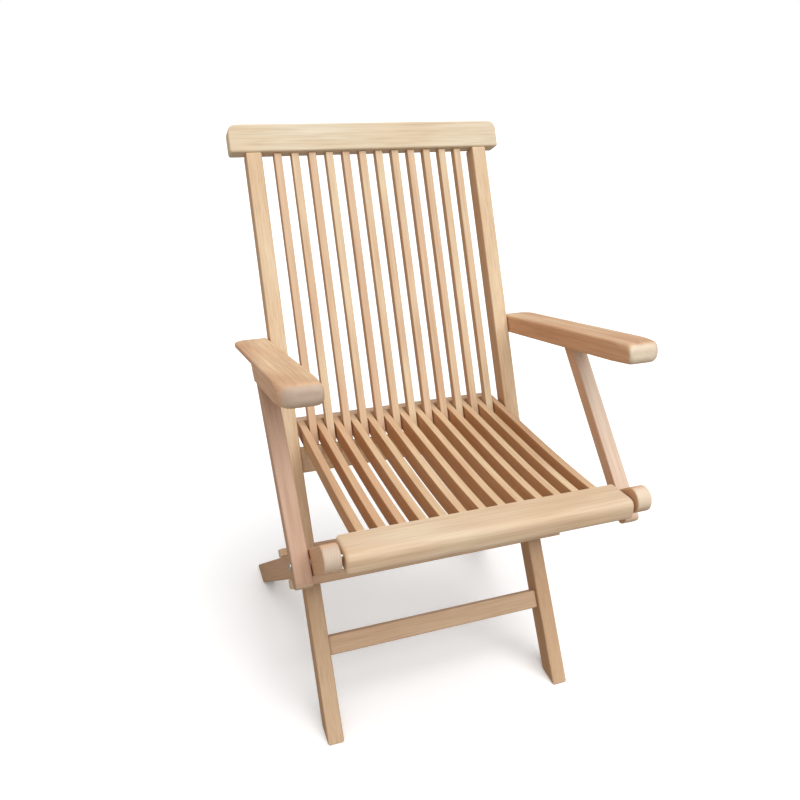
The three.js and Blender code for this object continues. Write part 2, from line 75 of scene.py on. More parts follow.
camera = bpy.data.objects.new("camera", bpy.data.cameras.new("camera"))
camera.data.sensor_width = sensor_width
camera.data.lens = sensor_width * focal_length_in_pixels / picture_width
camera.data.clip_end = camera_reach
camera.matrix_world = (
    Matrix.Translation(camera_place)
    @ Matrix.Rotation(-camera_heading, 4, "Z")
    @ Matrix.Rotation(quarter_turn - camera_pitch, 4, "X")
    @ Matrix.Rotation(camera_roll, 4, "Z")
)
scene.collection.objects.link(camera)
scene.camera = camera


# Floor and light
# A plain white studio floor with soft light from above and a little in front and to the right, so
# that the sides which face left are in half shade, as in the photograph.
def linear(hex_colour):
    """An sRGB hex colour as linear red, green, blue and alpha."""
    shares = [int(hex_colour[start:start + 2], 16) / 255 for start in (1, 3, 5)]
    return (*[s / 12.92 if s <= 0.04045 else ((s + 0.055) / 1.055) ** 2.4 for s in shares], 1.0)


def add(tree, kind, inputs=None, **settings):
    """A new node with its settings; an input is a value or the output that it is linked to."""
    node = tree.nodes.new(kind)
    for name, value in settings.items():
        setattr(node, name, value)
    for socket, value in (inputs or {}).items():
        if isinstance(value, bpy.types.NodeSocket):
            tree.links.new(value, node.inputs[socket])
        else:
            node.inputs[socket].default_value = value
    return node


def cleared(owner):
    """The node tree of a material or of the world, emptied."""
    owner.use_nodes = True
    owner.node_tree.nodes.clear()
    return owner.node_tree


floor_size = 60.0
floor_white = "#FFFFFF"
floor_bounce = "#A19E9A"
floor_lift = 0.10
key_strength = 2.35
key_softness = math.radians(60)
key_direction = (0.20, -0.40, 1.0)
fill_strength = 0.30
fill_softness = math.radians(60)
fill_direction = (-1.0, -0.9, 0.7)
sky_strength = 0.5

floor_mesh = bpy.data.meshes.new("floor")
half = floor_size / 2
corners = [(-half, -half, 0), (half, -half, 0), (half, half, 0), (-half, half, 0)]
floor_mesh.from_pydata(corners, [], [(0, 1, 2, 3)])
floor = bpy.data.objects.new("floor", floor_mesh)
scene.collection.objects.link(floor)
paper = bpy.data.materials.new("matt white studio paper")
tree = cleared(paper)
path = add(tree, "ShaderNodeLightPath")
bounce = add(tree, "ShaderNodeBsdfDiffuse", {"Color": linear(floor_bounce)})
seen = add(tree, "ShaderNodeBsdfDiffuse", {"Color": linear(floor_white)})
lift = add(tree, "ShaderNodeEmission", {"Color": linear(floor_white), "Strength": floor_lift})
bright = add(tree, "ShaderNodeAddShader", {0: seen.outputs[0], 1: lift.outputs[0]})
both = add(tree, "ShaderNodeMixShader", {
    0: path.outputs["Is Camera Ray"], 1: bounce.outputs[0], 2: bright.outputs[0]})
add(tree, "ShaderNodeOutputMaterial", {"Surface": both.outputs[0]})
floor_mesh.materials.append(paper)
floor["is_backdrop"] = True

world = bpy.data.worlds.new("studio")
scene.world = world
tree = cleared(world)
path = add(tree, "ShaderNodeLightPath")
sky = add(tree, "ShaderNodeBackground", {"Color": linear(floor_white), "Strength": sky_strength})
white = add(tree, "ShaderNodeBackground", {"Color": linear(floor_white), "Strength": 1.0})
both = add(tree, "ShaderNodeMixShader", {
    0: path.outputs["Is Camera Ray"], 1: sky.outputs[0], 2: white.outputs[0]})
add(tree, "ShaderNodeOutputWorld", {"Surface": both.outputs[0]})

for name, strength, softness, direction in (
    ("key", key_strength, key_softness, key_direction),
    ("fill", fill_strength, fill_softness, fill_direction),
):
    lamp = bpy.data.objects.new(name, bpy.data.lights.new(name, "SUN"))
    lamp.data.energy = strength
    lamp.data.angle = softness
    lamp.rotation_mode = "QUATERNION"
    lamp.rotation_quaternion = Vector(direction).to_track_quat("Z", "Y")
    scene.collection.objects.link(lamp)

scene.view_settings.view_transform = "Standard"


# Stiles
# Two bent boards of teak run from the front feet to the top rail; planed, with the arrises rounded
# over. The whole chair hangs on them: the rails are tenoned in, and the rear legs and arms bolted on.
lower_lean = math.radians(35.1)
lower_length = 0.454
lower_depth = 0.035
upper_lean = math.radians(28.6)
upper_length = 0.544
upper_depth = 0.031
bend_reach = 0.060
plank_arris = 0.0028
corner_steps = 10
arris_steps = 3
arris_angle = math.radians(35)
bore_radius = 0.0033
bore_sides = 24
bored_edge_angle = math.radians(50)
overrun = 0.002
bolt_tip_wood = 0.009
sides = {"left": -1, "right": 1}
# The fourth colour is painted shade and bounce light for the stiles' sides.
stile_colours = ("#E7CFAD", "#C2986A", "#DDBC99", "#CB9561")
stile_piths = {"left": (0.055, 0.020), "right": (-0.048, 0.030)}
pore_brown = "#8A5A35"
pore_strength = 0.22
pore_width, pore_length, pore_limits = 0.0021, 0.095, (0.45, 0.72)
band_width, band_length, band_limits = 0.0133, 0.27, (0.38, 0.68)
cloud_width, cloud_length, cloud_limits = 0.071, 0.20, (0.35, 0.70)
wander_width, wander_length = 0.085, 0.45
wander_reach = 0.030
noise_detail, noise_roughness, noise_middle = 2.0, 0.6, (0.5, 0.5, 0.5)
ring_waver, ring_waver_detail, ring_waver_scale = 1.2, 1.0, 0.6
wave_ring_width = math.pi / 10  # of the wave texture's own rings, at a scale of 1
ring_edge_tones = (0.85, 0.55)
ring_inner_tones = ((0.16, 0.12), (0.60, 0.10))  # each at a share of the ring's width
ring_share, band_share = 0.5, 0.6
blush_from, blush_most = 0.35, 0.75
end_tan, end_cream = "#DAC09C", "#E6DAC4"
end_paleness = 0.72
end_turn = (0.35, 0.80)
pore_share_on_ends = 0.12
# Painted shade and bounce light: the sides of boards that face across the chair get a browner colour.
painted_side_shade_share = 0.62
painted_side_shade_turn = (0.62, 0.95)
# Painted shade from the seat: below this height the teak is darkened towards the bottom.
seat_shade_height = 0.41
seat_shade_fade = 0.06
painted_seat_shade_brown = "#A98160"
painted_seat_shade_share = 0.38
grain_relief = 0.00018
relief_strength = 0.35
planed_roughness, pore_roughness = 0.55, 0.68
wood_ior = 1.46


def middle(node):
    """The middle of a CAD node."""
    low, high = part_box(node)
    return (low + high) / 2


def placed(member, y, z):
    """A place in a member's own side view, as a place in the chair's."""
    origin_y, origin_z, turn = member
    return (
        origin_y + y * math.cos(turn) - z * math.sin(turn),
        origin_z + y * math.sin(turn) + z * math.cos(turn),
    )


def rounded(corners, steps=corner_steps):
    """The points of an outline; a corner's third number is how far its rounding reaches."""
    points = []
    for number, (a, b, reach) in enumerate(corners):
        here = Vector((a, b))
        if reach == 0:
            points.append(here)
            continue
        before = Vector(corners[number - 1][:2]) - here
        after = Vector(corners[(number + 1) % len(corners)][:2]) - here
        start = here + before.normalized() * reach
        end = here + after.normalized() * reach
        for step in range(steps + 1):
            t = step / steps
            points.append(start * (1 - t) ** 2 + here * (2 * t * (1 - t)) + end * t ** 2)
    return points


def mesh_object(name, mesh):
    """A mesh as an object in the scene."""
    thing = bpy.data.objects.new(name, mesh)
    scene.collection.objects.link(thing)
    return thing


def solid(name, shape):
    """A closed shape as an object, its faces pointing outwards."""
    bmesh.ops.recalc_face_normals(shape, faces=shape.faces)
    mesh = bpy.data.meshes.new(name)
    shape.to_mesh(mesh)
    shape.free()
    return mesh_object(name, mesh)


def settled(thing):
    """The object with its modifiers' result as its plain mesh."""
    graph = bpy.context.evaluated_depsgraph_get()
    mesh = bpy.data.meshes.new_from_object(
        thing.evaluated_get(graph), preserve_all_data_layers=True, depsgraph=graph)
    thing.modifiers.clear()
    thing.data = mesh
    mesh.name = thing.name
    return thing


def between(name, outlines):
    """A board between two outlines of the same number of points."""
    shape = bmesh.new()
    first, second = [[shape.verts.new(point) for point in outline] for outline in outlines]
    shape.faces.new(first)
    shape.faces.new(second)
    for number in range(len(first)):
        following = (number + 1) % len(first)
        shape.faces.new((first[number], first[following], second[following], second[number]))
    return solid(name, shape)


def prism(name, points, x_from, x_to):
    """A board sawn to an outline in the side view, from one place across the chair to another."""
    return between(name, [[(x, y, z) for y, z in points] for x in (x_from, x_to)])


def eased(thing, arris, segments=arris_steps):
    """Rounds the sharp edges over."""
    thing.data.shade_smooth()
    bevel = thing.modifiers.new("arris", "BEVEL")
    bevel.width = arris
    bevel.segments = segments
    bevel.limit_method = "ANGLE"
    bevel.angle_limit = arris_angle
    return settled(thing)


def smoothed(thing):
    """Keeps the flat faces flat and shades the rounded edges between them smooth."""
    normals = thing.modifiers.new("planed faces", "WEIGHTED_NORMAL")
    normals.keep_sharp = True
    return settled(thing)


def cut_out(thing, cutter):
    """Takes the cutter's shape out of the piece."""
    cut = thing.modifiers.new("cut", "BOOLEAN")
    cut.object = cutter
    cut.solver = "EXACT"
    settled(thing)
    bpy.data.objects.remove(cutter)


def drilled(thing, bores):
    """Drills across the chair: each bore is a radius, where it starts and ends in x, and its centre."""
    for radius, x_from, x_to, centre in bores:
        circle = [
            (centre.y + radius * math.cos(math.tau * step / bore_sides),
             centre.z + radius * math.sin(math.tau * step / bore_sides))
            for step in range(bore_sides)
        ]
        cut_out(thing, prism("drill", circle, x_from, x_to))
    for edge in thing.data.edges:
        edge.use_edge_sharp = False
    thing.data.set_sharp_from_angle(angle=bored_edge_angle)
    return thing


def grain_noise(tree, board, width, length, limits):
    """A noise drawn out along the grain; it rises from 0 to 1 between the limits."""
    place = add(tree, "ShaderNodeMapping", {
        "Vector": board, "Scale": (1 / width, 1 / width, 1 / length)})
    noise = add(tree, "ShaderNodeTexNoise", {
        "Vector": place.outputs[0], "Scale": 1.0, "Detail": noise_detail, "Roughness": noise_roughness})
    return add(tree, "ShaderNodeMapRange", {
        0: noise.outputs["Fac"], 1: limits[0], 2: limits[1]}).outputs[0]


def blend(tree, share, first, second):
    """A mix of two colours; a colour is a hex value or an output."""
    colours = [linear(c) if isinstance(c, str) else c for c in (first, second)]
    mix = add(tree, "ShaderNodeMix", {0: share, 6: colours[0], 7: colours[1]}, data_type="RGBA")
    return mix.outputs[2]


def times(tree, first, second):
    """The product of two numbers or outputs."""
    return add(tree, "ShaderNodeMath", {0: first, 1: second}, operation="MULTIPLY").outputs[0]


def square_to(tree, normal, way, turn):
    """1 on the faces square to a direction and 0 on those turned away from it; turn holds the
    cosines between which it rises."""
    along = add(tree, "ShaderNodeVectorMath", {0: normal, 1: way}, operation="DOT_PRODUCT")
    size = add(tree, "ShaderNodeMath", {0: along.outputs["Value"]}, operation="ABSOLUTE")
    return add(tree, "ShaderNodeMapRange", {0: size.outputs[0], 1: turn[0], 2: turn[1]}).outputs[0]


def teak(name, centre, grain, colours, pith, ring_width=0.0045, figure=0.5, end_figure=0.25,
         end_tone=end_tan, slats=False):
    """Teak, planed, sanded and left bare. The growth rings are cylinders round a pith line beside
    the board, so its faces show long lines and its sawn ends show pale arcs. Pores run with the
    grain, drawn coarser than they are so that they show. The sides of the boards that don't run
    across the chair get a browner colour of painted shade and bounce light, and below the seat the
    teak is darkened with painted shade from the seat."""
    # side is the colour of the painted shade and bounce light on the boards' sides.
    light, dark, blush, side = colours
    material = bpy.data.materials.new(name)
    tree = cleared(material)
    turn = Euler(grain).to_matrix()
    shift = Vector((*pith, 0)) - turn @ centre
    along = turn.transposed() @ Vector((0, 0, 1))
    where = add(tree, "ShaderNodeTexCoord")
    place = where.outputs["Object"]
    if slats:
        own = add(tree, "ShaderNodeAttribute", attribute_name="board")
        place = add(tree, "ShaderNodeVectorMath", {0: place, 1: own.outputs["Vector"]}).outputs[0]
    board = add(tree, "ShaderNodeMapping", {
        "Vector": place, "Rotation": grain, "Location": shift}).outputs[0]

    long = add(tree, "ShaderNodeMapping", {
        "Vector": board, "Scale": (1, 1, wander_width / wander_length)})
    wander = add(tree, "ShaderNodeTexNoise", {
        "Vector": long.outputs[0], "Scale": 1 / wander_width, "Detail": noise_detail})
    centred = add(tree, "ShaderNodeVectorMath", {
        0: wander.outputs["Color"], 1: noise_middle}, operation="SUBTRACT")
    bent = add(tree, "ShaderNodeVectorMath", {
        0: centred.outputs[0], 1: (wander_reach, wander_reach, 0), 2: board}, operation="MULTIPLY_ADD")
    rings = add(tree, "ShaderNodeTexWave", {
        "Vector": bent.outputs[0], "Scale": wave_ring_width / ring_width,
        "Distortion": ring_waver, "Detail": ring_waver_detail, "Detail Scale": ring_waver_scale,
    }, wave_type="RINGS", rings_direction="Z", wave_profile="SAW")
    ring_line = add(tree, "ShaderNodeValToRGB", {"Fac": rings.outputs["Fac"]})
    stops = ring_line.color_ramp.elements
    for stop, tone in zip(stops, ring_edge_tones):
        stop.color = (tone, tone, tone, 1)
    for place_in_ring, tone in ring_inner_tones:
        stops.new(place_in_ring).color = (tone, tone, tone, 1)
    ring = ring_line.outputs[0]

    pores = grain_noise(tree, board, pore_width, pore_length, pore_limits)
    bands = grain_noise(tree, board, band_width, band_length, band_limits)
    clouds = grain_noise(tree, board, cloud_width, cloud_length, cloud_limits)
    ends = square_to(tree, where.outputs["Normal"], along, end_turn)

    base = blend(tree, clouds, light, blush)
    if slats:
        tone = add(tree, "ShaderNodeSeparateXYZ", {0: own.outputs["Vector"]})
        pink = add(tree, "ShaderNodeMapRange", {0: tone.outputs["Y"], 1: blush_from, 4: blush_most})
        base = blend(tree, pink.outputs[0], base, blush)
    base = blend(tree, times(tree, bands, figure * band_share), base, dark)
    runs_across = grain[1] != 0
    # Painted shade and bounce light on the sides that face across the chair.
    if not runs_across:
        painted_side_shade = square_to(tree, where.outputs["Normal"], (1, 0, 0), painted_side_shade_turn)
        base = blend(tree, times(tree, painted_side_shade, painted_side_shade_share), base, side)
    # Painted shade from the seat: the teak is darkened towards the bottom, below the seat.
    height = add(tree, "ShaderNodeSeparateXYZ", {0: where.outputs["Object"]}).outputs["Z"]
    painted_seat_shade = add(tree, "ShaderNodeMapRange", {
        0: height, 1: seat_shade_height, 2: seat_shade_height - seat_shade_fade, 4: painted_seat_shade_share})
    base = blend(tree, painted_seat_shade.outputs[0], base, painted_seat_shade_brown)
    base = blend(tree, times(tree, ends, end_paleness), base, end_tone)
    for pattern, strength, on_ends, colour in (
        (ring, figure * ring_share, end_figure, dark),
        (pores, pore_strength, pore_share_on_ends, pore_brown),
    ):
        share = add(tree, "ShaderNodeMapRange", {0: ends, 3: strength, 4: strength * on_ends})
        base = blend(tree, times(tree, pattern, share.outputs[0]), base, colour)

    rough = add(tree, "ShaderNodeMapRange", {0: pores, 3: planed_roughness, 4: pore_roughness})
    relief = add(tree, "ShaderNodeMath", {0: pores, 1: ring}, operation="ADD")
    bump = add(tree, "ShaderNodeBump", {
        "Height": relief.outputs[0], "Strength": relief_strength, "Distance": grain_relief},
        invert=True)
    shader = add(tree, "ShaderNodeBsdfPrincipled", {
        "Base Color": base, "Roughness": rough.outputs[0], "Normal": bump.outputs[0], "IOR": wood_ior})
    add(tree, "ShaderNodeOutputMaterial", {"Surface": shader.outputs[0]})
    return material


def dressed(thing, material, body, *nodes):
    """Gives the piece its finish and puts it on its body, in place of the CAD nodes."""
    thing.data.materials.clear()
    thing.data.materials.append(material)
    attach(thing, body)
    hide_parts(*nodes)


def crossing(member_a, y_a, member_b, y_b):
    """Where a line along one member meets a line along another."""
    start_a, start_b = Vector(placed(member_a, y_a, 0)), Vector(placed(member_b, y_b, 0))
    along_a = Vector(placed(member_a, y_a, 1)) - start_a
    along_b = Vector(placed(member_b, y_b, 1)) - start_b
    share = (start_b - start_a).cross(along_b) / along_a.cross(along_b)
    return start_a + along_a * share


foot_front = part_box("stile_right")[0].y
lower = (foot_front, 0.0, -lower_lean)
back = (*placed(lower, 0, lower_length), -upper_lean)
frame_bolt, arm_bolt = middle("frame_washer_right"), middle("arm_washer_right")
rear_bend = crossing(lower, lower_depth, back, upper_depth)
stile_outline = rounded([
    (*placed(lower, 0, 0), 0),
    (foot_front + lower_depth / math.cos(lower_lean), 0, 0),
    (*rear_bend, bend_reach),
    (*placed(back, upper_depth, upper_length), 0),
    (*placed(back, 0, upper_length), 0),
    (*placed(back, 0, 0), bend_reach),
])
for label, side in sides.items():
    low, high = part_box(f"stile_{label}")
    stile = eased(prism(f"teak_stile_{label}", stile_outline, low.x, high.x), plank_arris)
    inner, outer = (low.x, high.x) if side > 0 else (high.x, low.x)
    smoothed(drilled(stile, [
        (bore_radius, *sorted((start, outer + side * overrun)), centre) for start, centre in (
            (inner - side * overrun, frame_bolt), (inner + side * bolt_tip_wood, arm_bolt))
    ]))
    finish = teak(f"teak of the {label} stile", (low + high) / 2, ((lower_lean + upper_lean) / 2, 0, 0),
                  stile_colours, stile_piths[label])
    dressed(stile, finish, "back_frame", f"stile_{label}")


# Top rail
# A teak board on the stiles' ends, its upper corners rounded well over. The stiles' and the back
# slats' tenons stand in mortises cut into its underside.
top_rail_height = 0.048
top_rail_corner = 0.016
top_rail_foot_corner = 0.005
top_rail_arris, top_rail_arris_steps = 0.0034, 5
fit = 0.0003
top_rail_colours = ("#E6DAC1", "#C9A97F", "#DDC9AB", "#DDC9AB")
top_rail_pith, top_rail_rings = (0.03, 0.075), 0.0055

low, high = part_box("top_rail")
foot = upper_length + fit
head = foot + top_rail_height
outline = rounded([
    (low.x, foot, top_rail_foot_corner), (high.x, foot, top_rail_foot_corner),
    (high.x, head, top_rail_corner), (low.x, head, top_rail_corner),
])
top_rail = between("teak_top_rail", [
    [(x, *placed(back, depth, z)) for x, z in outline] for depth in (0, upper_depth)])
smoothed(eased(top_rail, top_rail_arris, top_rail_arris_steps))
finish = teak("teak of the top rail", middle("top_rail"), (upper_lean, -quarter_turn, 0),
              top_rail_colours, top_rail_pith, ring_width=top_rail_rings)
dressed(top_rail, finish, "back_frame", "top_rail")


# Lower back rail
# A plain teak rail between the stiles, tenoned into them. The back slats stand in it, and the seat
# slats rest on its top edge when the chair is open.
rail_arris = 0.0025
lower_rail_pith = (-0.03, 0.06)


def extent(node, member):
    """The lowest and highest corner of a CAD node in a member's own side view."""
    origin_y, origin_z, turn = member
    level = Matrix.Rotation(-turn, 3, "X")
    origin = Vector((0, origin_y, origin_z))
    places = [level @ (v.co - origin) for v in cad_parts[node].data.vertices]
    return (
        Vector([min(p[axis] for p in places) for axis in range(3)]),
        Vector([max(p[axis] for p in places) for axis in range(3)]),
    )


def cross_board(name, member, low, high, x_from, x_to, arris):
    """A square-edged board across the chair, set square to a leaning member."""
    corners = [(low.y, low.z), (high.y, low.z), (high.y, high.z), (low.y, high.z)]
    outline = [placed(member, *corner) for corner in corners]
    return smoothed(eased(prism(name, outline, x_from, x_to), arris))


stile_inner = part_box("stile_right")[0].x
low, high = extent("lower_back_rail", back)
lower_rail_top = high.z
shoulders = (fit - stile_inner, stile_inner - fit)
lower_rail = cross_board("teak_lower_back_rail", back, low, high, *shoulders, rail_arris)
finish = teak("teak of the lower back rail", middle("lower_back_rail"),
              (upper_lean, -quarter_turn, 0), stile_colours, lower_rail_pith)
dressed(lower_rail, finish, "back_frame", "lower_back_rail")


# Back slats
# Twelve thin strips of teak, arrises just broken, each tenoned into the top rail and the lower one.
# They are cut from many boards, so some are straw coloured and some pinkish.
slat_arris = 0.0015
# The fourth colour is painted shade and bounce light for the slats' sides.
slat_colours = ("#E8D3B0", "#C19568", "#D9B697", "#CB9865")
slat_pith = (0.06, 0.05)
back_slat_seed = 4


def tree_with(name, inputs):
    """A Geometry Nodes tree with named inputs, and the node that gives them."""
    tree = bpy.data.node_groups.new(name, "GeometryNodeTree")
    tree.interface.new_socket("Geometry", in_out="OUTPUT", socket_type="NodeSocketGeometry")
    for title, (kind, _) in inputs.items():
        tree.interface.new_socket(title, in_out="INPUT", socket_type=kind)
    return tree, add(tree, "NodeGroupInput")


def grown(thing, tree, given, inputs, copies):
    """The object as its tree makes it: the copies made real, in their finish, as a plain mesh."""
    real = add(tree, "GeometryNodeRealizeInstances", {"Geometry": copies.outputs[0]})
    finished = add(tree, "GeometryNodeSetMaterial", {
        "Geometry": real.outputs[0], "Material": given.outputs["Finish"]})
    add(tree, "NodeGroupOutput", {"Geometry": finished.outputs[0]})
    modifier = thing.modifiers.new("copies", "NODES")
    modifier.node_group = tree
    for title, (_, value) in inputs.items():
        if value is not None:
            modifier[given.outputs[title].identifier] = value
    return settled(thing)


def row_of_boards(name, board, count, first, pitch, seed, finish):
    """A row of like boards across the chair, each with its own share of the grain."""
    inputs = {
        "Board": ("NodeSocketObject", board), "Count": ("NodeSocketInt", count),
        "First": ("NodeSocketFloat", first), "Pitch": ("NodeSocketFloat", pitch),
        "Seed": ("NodeSocketInt", seed), "Finish": ("NodeSocketMaterial", finish),
    }
    tree, given = tree_with(f"row of {name}", inputs)
    start = add(tree, "ShaderNodeCombineXYZ", {"X": given.outputs["First"]})
    step = add(tree, "ShaderNodeCombineXYZ", {"X": given.outputs["Pitch"]})
    line = add(tree, "GeometryNodeMeshLine", {
        "Count": given.outputs["Count"], "Start Location": start.outputs[0], "Offset": step.outputs[0]})
    chance = add(tree, "FunctionNodeRandomValue", {"Seed": given.outputs["Seed"]},
                 data_type="FLOAT_VECTOR")
    marked = add(tree, "GeometryNodeStoreNamedAttribute", {
        "Geometry": line.outputs[0], "Name": "board", "Value": chance.outputs[0]},
        data_type="FLOAT_VECTOR")
    pattern = add(tree, "GeometryNodeObjectInfo", {"Object": given.outputs["Board"]})
    copies = add(tree, "GeometryNodeInstanceOnPoints", {
        "Points": marked.outputs[0], "Instance": pattern.outputs["Geometry"]})
    row = grown(mesh_object(name, bpy.data.meshes.new(name)), tree, given, inputs, copies)
    bpy.data.objects.remove(board)
    return row


back_slats = [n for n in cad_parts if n.startswith("back_slat_")]
low, high = extent("back_slat_01", back)
first, second = middle("back_slat_01").x, middle("back_slat_02").x
half = (high.x - low.x) / 2
low.z, high.z = lower_rail_top + fit, upper_length
slat = cross_board("slat", back, low, high, -half, half, slat_arris)
finish = teak("teak of the back slats", middle("back_slat_01"), (upper_lean, 0, 0), slat_colours,
              slat_pith, slats=True)
row = row_of_boards("teak_back_slats", slat, len(back_slats), first, second - first, back_slat_seed,
                    finish)
dressed(row, finish, "back_frame", *back_slats)


# Front stretcher
# A flat teak bar low between the front legs, tenoned into both, its arrises rounded over. It keeps
# the stiles from spreading.
stretcher_colours = ("#E8CDAC", "#C39A70", "#DDBB9B", "#CC9A70")
stretcher_pith = (0.05, 0.04)

low, high = extent("front_stretcher", lower)
stretcher = cross_board("teak_front_stretcher", lower, low, high, *shoulders, rail_arris)
finish = teak("teak of the front stretcher", middle("front_stretcher"),
              (lower_lean, -quarter_turn, 0), stretcher_colours, stretcher_pith)
dressed(stretcher, finish, "back_frame", "front_stretcher")


# Rear legs
# Two straight boards outside the stiles, from the rounded noses that carry the seat's front pins,
# past the bolts through the stiles, down to the rear feet. Sawn teak with rounded arrises.
nose_steps = 24
pin_bore, pin_depth = 0.0043, 0.0188
thread_depth = 0.0183
insert_bore, insert_depth = 0.0053, 0.0143
# The fourth colour is painted shade and bounce light for the legs' sides; the left leg's grey end tone is
# painted shade on its end, the right's is the end grain's own cream.
leg_colours = ("#E4C3A0", "#BA8A5F", "#D5AA86", "#D3A176")
leg_end_tones_and_painted_shade = {"left": "#C0B6A9", "right": end_cream}
leg_piths = {"left": (0.060, 0.015), "right": (-0.052, -0.024)}
leg_rings, leg_end_figure = 0.0038, 1.6

seat_pin, strut_foot = middle("seat_pin_right"), middle("strut_foot_washer_right")
leg = (seat_pin.y, seat_pin.z, math.atan2(frame_bolt.z - seat_pin.z, frame_bolt.y - seat_pin.y))
leg_half = extent("rear_leg_right", leg)[1].z
leg_outline = [
    (leg_half * math.cos(angle), leg_half * math.sin(angle))
    for angle in [math.pi * (0.5 + step / nose_steps) for step in range(nose_steps + 1)]
]
for edge in (-leg_half, leg_half):
    leg_outline.append((-(leg[1] + edge * math.cos(leg[2])) / math.sin(leg[2]), edge))
for label, side in sides.items():
    low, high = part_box(f"rear_leg_{label}")
    inner, outer = (low.x, high.x) if side > 0 else (high.x, low.x)
    outline = [placed(leg, *point) for point in leg_outline]
    rear_leg = eased(prism(f"teak_rear_leg_{label}", outline, low.x, high.x), plank_arris)
    smoothed(drilled(rear_leg, [
        (radius, *sorted((start, end)), centre) for radius, start, end, centre in (
            (pin_bore, inner - side * overrun, inner + side * pin_depth, seat_pin),
            (bore_radius, inner - side * overrun, inner + side * thread_depth, frame_bolt),
            (insert_bore, outer + side * overrun, outer - side * insert_depth, strut_foot),
        )
    ]))
    finish = teak(f"teak of the {label} rear leg", (low + high) / 2, (quarter_turn - leg[2], 0, 0),
                  leg_colours, leg_piths[label], ring_width=leg_rings, end_figure=leg_end_figure,
                  end_tone=leg_end_tones_and_painted_shade[label])
    dressed(rear_leg, finish, "leg_frame", f"rear_leg_{label}")


# Bars across the rear legs
# Two flat teak bars across the legs, their fixings hidden. The one under them meets the stiles'
# fronts and stops the chair as it opens; the other lies on the legs behind the stiles.
bar_piths = {"stop_rail": (0.04, 0.05), "rear_stretcher": (-0.05, 0.05)}

for name, pith in bar_piths.items():
    low, high = extent(name, leg)
    bar = cross_board(f"teak_{name}", leg, low, high, low.x, high.x, rail_arris)
    finish = teak(f"teak of the {name.replace('_', ' ')}", middle(name),
                  (-leg[2], -quarter_turn, 0), stretcher_colours, pith)
    dressed(bar, finish, "leg_frame", name)


# Seat front rail
# A thick teak rail, its front edges and its ends rounded over and its top nearly level. It turns on
# steel pins in the legs' noses and the seat slats stand in mortises along its back.
front_reach = 0.0199
front_ridge = 0.011
front_drop = 0.021
front_tail = 0.037
front_tail_height = 0.009
front_corner = 0.009
front_crown = 0.015
front_end_round = 0.006
end_steps = 8
weld = 0.00002
shaped_edge_angle = math.radians(38)
rear_rail_up = 0.0746
rear_rail_behind = 0.0533
front_rail_colours = ("#DFCBAF", "#C39E75", "#D8BC9D", "#D8BC9D")
front_rail_pith, front_rail_rings = (0.02, 0.07), 0.0065


def loft(name, rings):
    """A closed piece through rings of the same number of points."""
    shape = bmesh.new()
    made = [[shape.verts.new(place) for place in ring] for ring in rings]
    count = len(rings[0])
    for here, following in zip(made, made[1:]):
        for number in range(count):
            other = (number + 1) % count
            shape.faces.new((here[number], here[other], following[other], following[number]))
    shape.faces.new(made[0])
    shape.faces.new(made[-1])
    bmesh.ops.remove_doubles(shape, verts=shape.verts, dist=weld)
    thing = solid(name, shape)
    thing.data.shade_smooth()
    thing.data.set_sharp_from_angle(angle=shaped_edge_angle)
    return thing


def inset(distance, radius):
    """How far a rounded end has drawn in at a distance from its tip."""
    return radius - math.sqrt(max(radius ** 2 - max(radius - distance, 0) ** 2, 0))


def drawn_in(points, distance):
    """An anticlockwise outline, moved inwards all round."""
    moved = []
    for number, here in enumerate(points):
        before, after = here - points[number - 1], points[(number + 1) % len(points)] - here
        first = Vector((-before.y, before.x)).normalized()
        second = Vector((-after.y, after.x)).normalized()
        moved.append(here + (first + second) * distance / (1 + first.dot(second)))
    return moved


rear_rail = Vector(placed(back, rear_rail_behind, rear_rail_up))
seat_line = rear_rail - Vector((seat_pin.y, seat_pin.z))
seat = (seat_pin.y, seat_pin.z, math.atan2(seat_line.y, seat_line.x))
low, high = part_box("seat_front_rail")
front_section = rounded([
    (-front_reach, -front_drop, front_corner), (front_tail, -front_drop, 0),
    (front_tail, front_tail_height, 0), (-front_reach, front_ridge, front_crown),
])
steps = [front_end_round * (step / end_steps) ** 2 for step in range(end_steps + 1)]
rings = []
for x, distance in [(low.x + s, s) for s in steps] + [(high.x - s, s) for s in reversed(steps)]:
    section = drawn_in(front_section, inset(distance, front_end_round))
    rings.append([(x, *placed(seat, *point)) for point in section])
front_rail = loft("teak_seat_front_rail", rings)
smoothed(drilled(front_rail, [
    (pin_bore, start, end, seat_pin) for start, end in (
        (low.x - overrun, low.x + pin_depth), (high.x - pin_depth, high.x + overrun))
]))
finish = teak("teak of the seat's front rail", middle("seat_front_rail"),
              (-seat[2], -quarter_turn, 0), front_rail_colours, front_rail_pith,
              ring_width=front_rail_rings)
dressed(front_rail, finish, "seat", "seat_front_rail")


# Seat rear rail
# A teak rail with a half-round back that holds the slats' rear ends; it hooks in behind the back
# slats and is as long as the row of seat slats.
rear_radius = 0.014
rear_front = 0.012
rear_chamfer = 0.003
rear_steps = 24
rear_rail_pith = (-0.03, 0.06)

